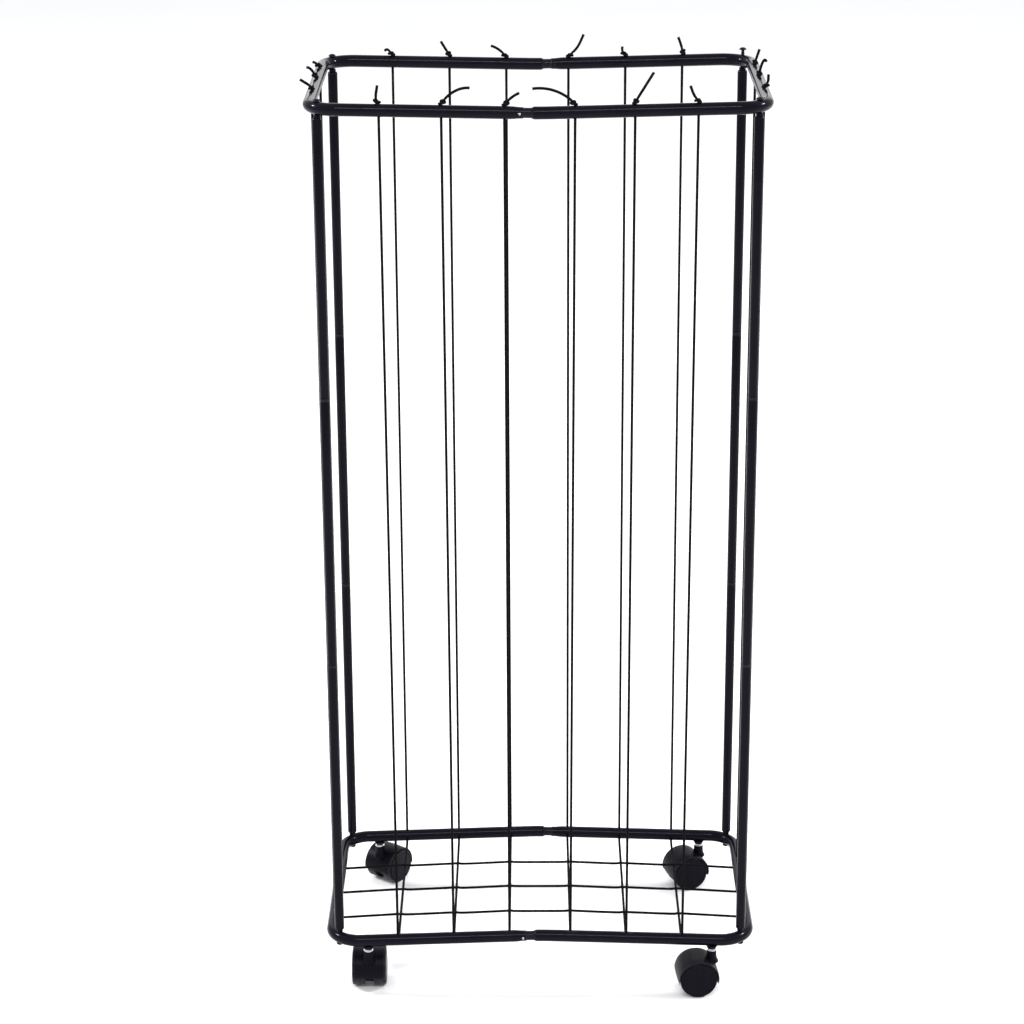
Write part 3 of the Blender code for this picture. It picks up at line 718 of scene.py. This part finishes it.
def overhand(leave, turn, mirror, thick=2.75):
    """Pulls an open overhand knot tight. It enters from below on the Z axis and leaves in the given direction.
    Returns its line, with its lowest loop on z = 0."""
    leave = np.array(leave, float) / np.linalg.norm(leave)
    t = np.linspace(-2.0, 2.0, 76)
    knot = np.stack([2.2 * (t ** 3 - 3 * t) * mirror, 1.6 * (t ** 4 - 4 * t * t), 2.0 * (t ** 5 / 5 - 2 * t)], 1)
    out = knot[-1] - knot[-2]
    knot = turned_about(knot, math.degrees(math.atan2(leave[1], leave[0]) - math.atan2(out[1], out[0])) + turn)
    spacing = 0.80
    line = np.vstack([np.linspace(knot[0] - (0, 0, 12.0), knot[0], 16)[:-1], knot, np.linspace(knot[-1], knot[-1] + leave * 12.0, 16)[1:]])
    line = resample(line, spacing)
    for step in range(300):
        move = np.zeros_like(line)
        move[1:-1] = 0.5 * (line[:-2] + line[2:]) - line[1:-1]
        line = line + 0.75 * move
        for _ in range(2):
            gap = line[:, None, :] - line[None, :, :]
            dist = np.sqrt((gap ** 2).sum(2)) + 1e-9
            n = len(line)
            count = np.arange(n)
            far = np.abs(count[:, None] - count[None, :]) > int(thick * 1.5 / spacing)
            push = np.where(far & (dist < thick), (thick - dist) * 0.27, 0.0)
            if not push.any():
                break
            shift = (gap / dist[:, :, None] * push[:, :, None]).sum(1)
            size = np.linalg.norm(shift, axis=1)[:, None]
            shift *= np.minimum(1.0, 0.4 / np.maximum(size, 1e-9))
            shift[0] = shift[-1] = 0
            line = line + shift
        if step % 6 == 5:
            line = resample(line, spacing)
    gap = np.linalg.norm(line[:, None, :] - line[None, :, :], axis=2)
    n = len(line)
    count = np.arange(n)
    far = np.abs(count[:, None] - count[None, :]) > int(thick * 1.5 / spacing)
    tied = np.where((far & (gap < thick * 1.2)).any(1))[0]
    first, last = max(tied.min() - 1, 1), min(tied.max() + 1, n - 2)
    body = line[first:last + 1]
    low = body[3:-3, 2].min() - 1.4
    return body - np.array((body[0, 0], body[0, 1], low))


def cord_mesh(name, node, path, radii, woven):
    """One cord from tail tip to tail tip. woven marks the stations whose strands stand out in relief."""
    sides = 16
    points = np.asarray(path, float)
    tangent, side, up = path_frames(points)
    along = np.concatenate([[0], np.cumsum(np.linalg.norm(np.diff(points, axis=0), axis=1))])
    angle = 2 * math.pi * np.arange(sides) / sides
    verts = []
    for i, p in enumerate(points):
        r = radii[i] * (1.0 + 0.045 * woven[i] * (((np.arange(sides) + i) % 2) * 2.0 - 1.0))
        verts.append(p + r[:, None] * (np.cos(angle)[:, None] * side[i] + np.sin(angle)[:, None] * up[i]))
    n = len(points)
    faces = [tuple(reversed(f)) for f in grid_faces(n, sides, False)]
    verts = np.vstack(verts)
    caps = []
    for end, inward in ((0, 1), (n - 1, -1)):
        ring = list(range(end * sides, end * sides + sides))
        base = len(verts)
        core = points[end] + tangent[end] * inward * 0.25 + radii[end] * 0.72 * (np.cos(angle)[:, None] * side[end] + np.sin(angle)[:, None] * up[end])
        verts = np.vstack([verts, core, (points[end] + tangent[end] * inward * 0.05)[None, :]])
        for k in range(sides):
            m = (k + 1) % sides
            wall = (ring[k], ring[m], base + m, base + k)
            tip = (base + k, base + m, base + sides)
            if end:
                wall, tip = tuple(reversed(wall)), tuple(reversed(tip))
            faces.append(wall)
            caps.append(len(faces))
            faces.append(tip)
    verts, faces = outward(verts, faces)

    def uvs(mesh, loops):
        u = np.zeros((len(mesh.loops), 2), np.float32)
        at = loops
        column = (at % sides) / sides
        row = np.minimum(at // sides, n - 1)
        u[:, 0] = column
        u[:, 1] = along[row] / 1.2
        # a face that closes the circle reads 1 and not 0 for its first corner
        starts = np.zeros(len(mesh.polygons), np.int32)
        totals = np.zeros(len(mesh.polygons), np.int32)
        mesh.polygons.foreach_get("loop_start", starts)
        mesh.polygons.foreach_get("loop_total", totals)
        for s, c in zip(starts, totals):
            seg = u[s:s + c, 0]
            if seg.max() - seg.min() > 0.5:
                seg[seg < 0.5] += 1.0
        return u

    return make(name, verts, faces, CORD_CLOTH, "root", "elastic_cord", (node,), 70.0, uvs=uvs, cap_material=CORE, cap_faces=caps)


def bezier(a, b, c, d, count):
    t = np.linspace(0, 1, count)[:, None]
    return (1 - t) ** 3 * a + 3 * (1 - t) ** 2 * t * b + 3 * (1 - t) * t * t * c + t ** 3 * d


def knot_and_tail(x, y, rail, tip, lean, turn, mirror):
    """From a tail's tip down to the cord below its knot: points, radii and relief."""
    seat = np.array((x, y, rail + RING_R - 0.45))
    tip = np.array(tip, float)
    centre = seat + np.array((0, 0, 3.6))
    chord = tip - centre
    length = np.linalg.norm(chord)
    sag = np.array((0, 0, lean * 1.33))
    line = overhand(chord / 3 + sag, turn, mirror) + seat
    way = line[-1] - line[-2]
    way = 0.3 * way / np.linalg.norm(way) + 0.7 * (chord / 3 + sag) / np.linalg.norm(chord / 3 + sag)
    way /= np.linalg.norm(way)
    reach = np.linalg.norm(tip - line[-1])
    tail = bezier(line[-1], line[-1] + way * reach * 0.36, line[-1] + (tip - line[-1]) * 0.66 + sag * 0.9, tip, 30)
    start = line[0]
    lead = bezier(np.array((x, y, rail + 2.0)), np.array((x, y, rail + 4.0)), start - np.array((0, 0, 1.5)), start, 8)
    fine = resample(np.vstack([lead[:-1], line, tail[1:]]), 0.6)
    s = np.concatenate([[0], np.cumsum(np.linalg.norm(np.diff(fine, axis=0), axis=1))])
    total = s[-1]
    tied_to = total - np.linalg.norm(np.diff(tail, axis=0), axis=1).sum()
    squeeze = 1.0 / (1.0 + np.exp(-(s - 5.0) / 0.8)) / (1.0 + np.exp((s - tied_to - 1.0) / 0.8))
    radii = np.full(len(fine), CORD_R) - 0.22 * squeeze + 0.10 * np.exp(-((total - s) / 1.1) ** 2)
    radii[-1] = CORD_R * 0.96
    return fine[::-1], radii[::-1], np.ones(len(fine))


def arc(corner, before, after, radius, steps=6):
    """A rounded corner of a path, as a list of points."""
    a, b = np.array(before, float), np.array(after, float)
    a, b = a / np.linalg.norm(a), b / np.linalg.norm(b)
    turn = math.acos(max(-1.0, min(1.0, a.dot(b))))
    start = np.array(corner, float) - a * radius * math.tan(turn / 2)
    inward = b - a * a.dot(b)
    inward = inward / np.linalg.norm(inward)
    return [start + a * radius * math.sin(turn * k / steps) + inward * radius * (1 - math.cos(turn * k / steps)) for k in range(steps + 1)]


BACK_TAILS = ((-10, 3, 14, 2), (-11, 2, 27.5, 0), (-20, 2, 23, 1.5), (20, 3, 37.5, -3), (-4, 2, 19.5, 0), (-5.5, 3, 30, 1))
FRONT_TAILS = ((-1, 2, 31, 0), (35, 2, 29, 5), (18, 1, 24, 1), (-52, 3, 29.5, 6), (22, 2, 47, 0), (-10.5, 2, 29, -1))
LEFT_TAILS = ((-14, -3, 21.5, 0), (-11, -3, 22, 2.5), (-8.5, 2, 14, 0))
RIGHT_TAILS = ((5, 3, 24, 0), (8, 2, 26, 10), (5, 3, 28, 0))


def pulled(name, node, first, last, over, seed):
    """A cord from knot to knot: down one side, in through the slanted holes of the bottom ring, across and up again."""
    a, ra, wa = knot_and_tail(first[0], first[1], Z_TOP + first[2], first[4], first[5], 22.0 * math.sin(2.3 * seed + 0.4), 1 if seed % 2 else -1)
    b, rb, wb = knot_and_tail(last[0], last[1], Z_TOP + last[2], last[4], last[5], 24.0 * math.sin(1.7 * seed + 2.0), -1 if seed % 3 else 1)
    foot, far = np.array((first[6], first[1], 0.0)), np.array((last[6], last[1], 0.0))
    run = (far - foot) / np.linalg.norm(far - foot)
    up = np.array((0, 0, 1.0))
    crown, far_crown = foot + up * (Z_LOW + first[3] + RING_R), far + up * (Z_LOW + last[3] + RING_R)
    slant = run * CORD_SLANT - up * (RING_R + CORD_DROP)
    rise = run * CORD_SLANT + up * (RING_R + CORD_DROP)
    corner_a, corner_b = arc(crown + slant, slant, run, CORD_BEND), arc(far_crown - rise, run, rise, CORD_BEND)
    lead_a, lead_b = arc(crown + up * 0.6, -up, slant, 5.0, 3), arc(far_crown + up * 0.6, rise, up, 5.0, 3)
    side_a = list(np.linspace(a[-1], lead_a[0], 26)[1:-1])
    side_b = list(np.linspace(lead_b[-1], b[-1], 26)[1:-1])
    if over:
        floor = []
        for p in over:
            p = np.array(p, float)
            floor += [p - run * 12.0 - up * 0.6, p - run * 3.0 - up * 0.06, p, p + run * 3.0 - up * 0.06, p + run * 12.0 - up * 0.6]
        floor = list(smooth_line(np.vstack([[corner_a[-1]], floor, [corner_b[0]]]), 3)[1:-1])
    else:
        floor = list(np.linspace(corner_a[-1], corner_b[0], 12)[1:-1])
    middle = side_a + lead_a + corner_a + floor + corner_b + lead_b + side_b
    path = np.vstack([a, middle, b[::-1]])
    radii = np.concatenate([ra, np.full(len(middle), CORD_R), rb[::-1]])
    woven = np.concatenate([wa, np.zeros(len(middle)), wb])
    shift = np.array((FX, FY, 0.0))
    return cord_mesh(name, node, path + shift, radii, woven)


for i, x in enumerate(DEPTH_CORD_X):
    t, u, h, lean = BACK_TAILS[i]
    back = (x + t, RING_B + u, Z_TOP + bow(x, BOW_TOP) + h)
    t2, u2, h2, lean2 = FRONT_TAILS[i]
    top = FRONT_TOP_X[i]
    front = (top + t2, -RING_B - u2, Z_TOP + bow(top, BOW_TOP) + h2)
    pulled(f"depth_cord_{i + 1}_sheath", f"depth_cord_{i + 1}",
           (x, RING_B, bow(x, BOW_TOP), bow(x, BOW_LOW), back, lean, x),
           (top, -RING_B, bow(top, BOW_TOP), bow(x, BOW_LOW), front, lean2, x), [], i)

for i, (place, y) in enumerate(zip(("front", "middle", "back"), WIDTH_CORD_Y)):
    t, u, h, lean = LEFT_TAILS[i]
    left = (-RING_A + t, y + u, Z_TOP + h)
    t2, u2, h2, lean2 = RIGHT_TAILS[i]
    right = (RING_A + t2, y + u2, Z_TOP + h2)
    crossings = [(x, y, Z_LOW + bow(x, BOW_LOW) - CORD_DROP + CORD_CROSS) for x in DEPTH_CORD_X]
    pulled(f"width_cord_{place}_sheath", f"width_cord_{place}",
           (-RING_A, y, 0, 0, left, lean, -RING_A), (RING_A, y, 0, 0, right, lean2, RING_A), crossings, 6 + i)


# ---------------------------------------------------------------- casters
def arch(half, inner):
    """The hood's shell over both wheels: a crowned band with rounded rims that thins towards its two tips."""
    rows = []
    steps = 56
    for k in range(steps + 1):
        a = math.radians(-HOOD_DIP + (180 + 2 * HOOD_DIP) * k / steps)
        outer = HOOD_R + HOOD_FRONT * max(0.0, -math.cos(a))
        near = min(k, steps - k)
        tip = 1.0 if near > 4 else (0.45, 0.72, 0.88, 0.96, 1.0)[near]
        outer = inner + 0.15 + (outer - inner - 0.15) * tip
        crown = 0.9
        section = []
        for w in np.linspace(-1, 1, 13):
            section.append((half * w * (1 - 0.0), outer - crown * abs(w) ** 3 * tip))
        low = outer - crown * tip
        edge = [(half + 0.0, low - 0.35), (half - 0.25, inner + 0.12), (half - 0.6, inner)]
        loop = section + edge + [(w, r) for w, r in ((half * 0.5, inner), (-half * 0.5, inner))] + [(-w, r) for w, r in reversed(edge)]
        rows.append([(TRAIL + r * math.cos(a), w, WHEEL_R + r * math.sin(a)) for w, r in loop])
    count = len(rows[0])
    verts = np.array([p for row in rows for p in row])
    faces = grid_faces(len(rows), count, False) + [tuple(reversed(range(count))), tuple(range((len(rows) - 1) * count, len(rows) * count))]
    return outward(verts, faces)


def web():
    """The plate between the wheels, which holds the stem and the axle."""
    outline = []
    for k in range(0, 41):
        a = math.radians(-HOOD_DIP + (180 + 2 * HOOD_DIP) * k / 40)
        r = HOOD_R - 0.7 + HOOD_FRONT * max(0.0, -math.cos(a))
        outline.append((TRAIL + r * math.cos(a), WHEEL_R + r * math.sin(a)))
    n = len(outline)
    verts = [(x, -HOOD_WEB + 0.1, z) for x, z in outline] + [(x, HOOD_WEB - 0.1, z) for x, z in outline]
    faces = [tuple(reversed(range(n))), tuple(range(n, 2 * n))] + [(k, (k + 1) % n, n + (k + 1) % n, n + k) for k in range(n)]
    return outward(verts, faces)


def hood_mesh():
    boss = [(0, HOOD_TOP)] + [(r, z) for r, z in ((5.4, HOOD_TOP), (6.1, HOOD_TOP - 0.12), (6.45, HOOD_TOP - 0.5), (6.55, HOOD_TOP - 1.1), (6.6, 54.5), (6.75, 51.0), (7.3, 48.0), (8.3, 45.6), (9.3, 43.9), (9.3, 43.0), (6.4, 40.0), (5.0, 34.0))] + [(0, 34.0)]
    bore = rod((0, 0, 41.8), (0, 0, 70), 4.3, 24)
    axle = rod((TRAIL, -30, WHEEL_R), (TRAIL, 30, WHEEL_R), 3.3, 24)
    cavity = []
    for low, high in ((HOOD_WEB, HOOD_HALF + 4), (-HOOD_HALF - 4, -HOOD_WEB)):
        cavity.append(rod((TRAIL, low, WHEEL_R), (TRAIL, high, WHEEL_R), HOOD_CAVITY_R, 96))
    edge = HOOD_WEB - 0.3
    disc = [(0, -edge), (HOOD_DISC_R - 0.9, -edge), (HOOD_DISC_R - 0.25, -edge + 0.25), (HOOD_DISC_R, -edge + 0.9), (HOOD_DISC_R, edge - 0.9),
            (HOOD_DISC_R - 0.25, edge - 0.25), (HOOD_DISC_R - 0.9, edge), (0, edge)]
    mesh = carve("caster_hood", arch(HOOD_HALF, HOOD_CAVITY_R), [("UNION", web()), ("UNION", turn_profile(disc, 72, (TRAIL, 0, WHEEL_R), "Y")), ("UNION", turn_profile(boss, 40)),
                 ("DIFFERENCE", join(*cavity)), ("DIFFERENCE", bore), ("DIFFERENCE", axle)])
    verts = np.array([tuple(v.co * 1000.0) for v in mesh.vertices])
    faces = [tuple(p.vertices) for p in mesh.polygons]
    bpy.data.meshes.remove(mesh)
    return verts, faces


def wheel_part(way):
    """One wheel, its axis along Y through the axle: a rounded tread, a raised ring and a slightly domed disc."""
    out, inn = WHEEL_OUT, WHEEL_IN
    profile = [(3.15, inn), (5.4, inn), (6.0, inn + 0.3), (6.4, inn + 1.4), (19.8, inn + 1.4), (20.4, inn + 0.4), (21.0, inn), (WHEEL_R - 1.2, inn)]
    profile += fillet(WHEEL_R - 1.2, inn + 1.2, 1.2, -90, 0, 4)[1:]
    middle = (inn + out) / 2
    profile += [(WHEEL_R, middle - 0.5), (WHEEL_R - 0.12, middle - 0.35), (WHEEL_R - 0.12, middle + 0.35), (WHEEL_R, middle + 0.5)]
    profile += fillet(WHEEL_R - 2.6, out - 2.6, 2.6, 0, 82, 7)
    profile += [(21.7, out - 0.02), (21.2, out - 0.10), (20.9, out - 0.42), (20.5, out - 0.50), (20.0, out - 0.46), (16.0, out - 0.30), (10.0, out - 0.14), (5.0, out - 0.05), (0, out - 0.02)]
    profile += [(0, 17.7), (3.15, 17.6)]
    verts, faces = turn_profile([(r, z * way) for r, z in profile], 72, (0, 0, 0), "Y", 0.0)
    return verts, faces


HOOD = hood_mesh()
lift = bow(CASTER_X, BOW_LOW)
under = Z_LOW + lift - RING_R - BOSS_DROP - 0.3

for place, (sx, sy, trail) in CASTERS.items():
    x, y = FX + sx * CASTER_X, FY + sy * CASTER_Y
    seat = HOOD_TOP + 0.3
    stem = [(0, 42.3), (3.4, 42.3), (4.0, 42.9), (4.0, seat), (5.9, seat), (6.35, seat + 0.15), (6.5, seat + 0.6), (6.5, under - 1.7), (6.35, under - 1.25), (5.9, under - 1.1), (5.5, under - 0.9), (5.4, under - 0.2), (5.2, under), (4.0, under),
            (4.0, Z_LOW + lift + 2.4), (3.4, Z_LOW + lift + 3.0), (0, Z_LOW + lift + 3.0)]
    node = f"caster_{place}_stem"
    make(node + "_plated", *turn_profile(stem, 40, (x, y, 0)), CHROME, "root", "caster_stem", (node,), 38.0)

    swivel = f"{place}_swivel"
    verts = turned_about(HOOD[0], trail) + np.array((x, y, 0.0))
    a = math.radians(trail)
    wx, wy = x + TRAIL * math.cos(a), y + TRAIL * math.sin(a)

    def hood_wear(co, wx=wx, wy=wy, a=a, x=x, y=y):
        w = np.abs(-(co[:, 0] - x) * math.sin(a) + (co[:, 1] - y) * math.cos(a))
        s = (co[:, 0] - wx) * math.cos(a) + (co[:, 1] - wy) * math.sin(a)
        r = np.hypot(s, co[:, 2] - WHEEL_R)
        rim = np.exp(-np.abs(w - HOOD_HALF) / 0.5)
        return 0.45 * rim * (r > 25.0)

    node = f"caster_{place}_hood"
    make(node + "_shell", verts, HOOD[1], HOOD_NYLON, swivel, "caster_hood", (node,), 34.0, extra=hood_wear)

    pin = [(0, -17.0), (2.4, -17.0), (3.0, -16.4), (3.0, 16.4), (2.4, 17.0), (0, 17.0)]
    v, f = turn_profile(pin, 32, (0, 0, 0), "Y")
    v = turned_about(v, trail) + np.array((wx, wy, WHEEL_R))
    node = f"caster_{place}_axle"
    make(node + "_pin", v, f, STEEL, swivel, "caster_axle", (node,), 38.0)

    for label, way in (("right", -1), ("left", 1)):
        v, f = wheel_part(way)
        v = turned_about(v, trail) + np.array((wx, wy, WHEEL_R))

        def tread_wear(co, wx=wx, wy=wy, a=a):
            s = (co[:, 0] - wx) * math.cos(a) + (co[:, 1] - wy) * math.sin(a)
            r = np.hypot(s, co[:, 2] - WHEEL_R)
            return 0.55 * np.clip((r - 24.2) / 0.6, 0, 1)

        node = f"caster_{place}_{label}_wheel"
        make(node + "_tyre", v, f, WHEEL_NYLON, f"{place}_{label}_wheel", "caster_wheel", (node,), 34.0, extra=tread_wear)


# ---------------------------------------------------------------- studio
def floor():
    n = Nodes("studio_floor")
    at = n.coords()
    soft = n.noise(at, 1.6, 3.0, 0.5)
    colour = n.ramp(soft, ((0.3, (0.930, 0.930, 0.932)), (0.7, (0.945, 0.945, 0.947))))
    mat = n.set(Base_Color=colour, Roughness=0.9, Specular_IOR_Level=0.1)
    mesh = bpy.data.meshes.new("studio_floor")
    count, radius = 96, 26.0
    verts = [(radius * math.cos(2 * math.pi * k / count), radius * math.sin(2 * math.pi * k / count), 0.0) for k in range(count)]
    mesh.from_pydata(verts, [], [tuple(range(count))])
    mesh.materials.append(mat)
    obj = bpy.data.objects.new("studio_floor", mesh)
    obj.location = (0, 0, -0.0004)
    collection.objects.link(obj)


def softbox(name, azimuth, height, distance, width, tall, radiance, aim=(0.0, 0.0, 0.7), colour=(1, 1, 1)):
    """An area light round the object. Azimuth 0 is in front of it, and 90 is to its right."""
    a = math.radians(azimuth)
    data = bpy.data.lights.new(name, "AREA")
    data.shape = "RECTANGLE"
    data.size, data.size_y = width, tall
    data.energy = 4.0 * radiance * width * tall
    data.color = colour
    light = bpy.data.objects.new(name, data)
    light.location = (distance * math.sin(a), -distance * math.cos(a), height)
    light.rotation_euler = (Vector(aim) - light.location).to_track_quat("-Z", "Y").to_euler()
    collection.objects.link(light)


floor()
world = bpy.data.worlds.new("studio")
world.use_nodes = True
world.node_tree.nodes["Background"].inputs["Color"].default_value = (0.97, 0.975, 1.0, 1.0)
world.node_tree.nodes["Background"].inputs["Strength"].default_value = 0.97
scene.world = world
softbox("front_strip", 0.0, 4.9, 4.3, 2.8, 0.42, 24.0)
softbox("left_box", -98.0, 3.5, 4.4, 0.6, 0.6, 130.0)
softbox("right_box", 98.0, 3.5, 4.4, 0.6, 0.6, 130.0)
softbox("back_wall", 180.0, 2.6, 5.2, 6.5, 2.4, 0.7)
scene.view_settings.view_transform = "Standard"

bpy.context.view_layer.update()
